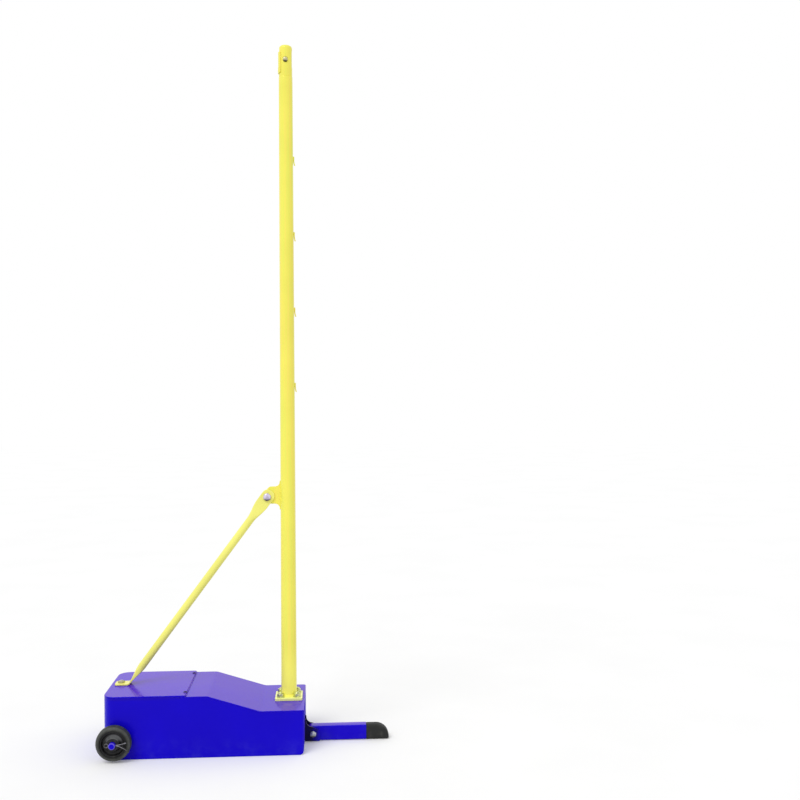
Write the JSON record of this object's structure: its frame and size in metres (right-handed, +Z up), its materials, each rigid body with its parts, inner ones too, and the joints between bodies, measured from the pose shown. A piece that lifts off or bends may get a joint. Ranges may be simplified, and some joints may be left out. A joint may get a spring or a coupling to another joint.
{
  "type": "badminton net post",
  "caption": "Freestanding badminton net post: yellow tube with head pulley, brace and net hooks on a blue weighted box with two wheels and a folding arm.",
  "frame": {"origin": "on the floor under the axis of the post tube, in the plane of the box's underside", "axes": "+Z up along the post, +X towards the court and the folding arm, -X towards the wheels and the brace's foot"},
  "size_m": [0.6245, 0.2752, 1.55],
  "materials": {
    "yellow_paint": "gloss",
    "blue_paint": "gloss",
    "zinc_steel": "satin",
    "cast_iron": "matte",
    "rubber": "matte",
    "tyre": "matte",
    "wheel_plastic": "matte",
    "nylon": "satin"
  },
  "bodies": {
    "base": {"base_shell": "blue_paint", "front_deck": "blue_paint", "rear_cover": "blue_paint", "cover_screw_near": "zinc_steel", "cover_screw_far": "zinc_steel", "counterweight_1": "cast_iron", "counterweight_2": "cast_iron", "counterweight_3": "cast_iron", "counterweight_4": "cast_iron", "axle": "blue_paint", "axle_tube": "blue_paint", "wheel_spacer_near": "zinc_steel", "wheel_spacer_far": "zinc_steel", "wheel_washer_near": "zinc_steel", "wheel_washer_far": "zinc_steel", "split_pin_near": "zinc_steel", "split_pin_far": "zinc_steel", "post_flange": "yellow_paint", "flange_bolt_1": "zinc_steel", "flange_bolt_2": "zinc_steel", "flange_bolt_3": "zinc_steel", "flange_bolt_4": "zinc_steel", "flange_washer_1": "zinc_steel", "flange_washer_2": "zinc_steel", "flange_washer_3": "zinc_steel", "flange_washer_4": "zinc_steel", "flange_nut_1": "zinc_steel", "flange_nut_2": "zinc_steel", "flange_nut_3": "zinc_steel", "flange_nut_4": "zinc_steel", "post_tube": "yellow_paint", "post_head": "yellow_paint", "pulley_guard": "yellow_paint", "pulley_bolt": "zinc_steel", "pulley_nut": "zinc_steel", "net_hook_1": "yellow_paint", "net_hook_2": "yellow_paint", "net_hook_3": "yellow_paint", "net_hook_4": "yellow_paint", "brace_lug": "yellow_paint", "brace_strut": "yellow_paint", "brace_top_bolt": "zinc_steel", "brace_top_nut": "zinc_steel", "brace_foot_bolt": "zinc_steel", "brace_foot_nut": "zinc_steel", "arm_ear_near": "blue_paint", "arm_ear_far": "blue_paint", "arm_bolt": "zinc_steel", "arm_nut": "zinc_steel"},
    "wheel_near": {"wheel_rim_near": "wheel_plastic", "tyre_near": "tyre", "wheel_bush_near": "nylon"},
    "wheel_far": {"wheel_rim_far": "wheel_plastic", "tyre_far": "tyre", "wheel_bush_far": "nylon"},
    "pulley": {"net_pulley": "nylon"},
    "arm": {"arm_tube": "blue_paint", "arm_foot": "rubber"}
  },
  "joints": [
    {"name": "wheel_near_spin", "type": "hinge", "parent": "base", "child": "wheel_near", "pos_m": [-0.3645, -0.1143, 0.041], "axis": [0, 1, 0], "continuous": true},
    {"name": "wheel_far_spin", "type": "hinge", "parent": "base", "child": "wheel_far", "pos_m": [-0.3645, 0.1143, 0.041], "axis": [0, 1, 0], "continuous": true},
    {"name": "pulley_spin", "type": "hinge", "parent": "base", "child": "pulley", "pos_m": [0, 0, 1.516], "axis": [0, 1, 0], "continuous": true},
    {"name": "arm_fold", "type": "hinge", "parent": "base", "child": "arm", "pos_m": [0.0535, 0, 0.017], "axis": [0, -1, 0], "range_deg": [0, 90]}
  ]
}
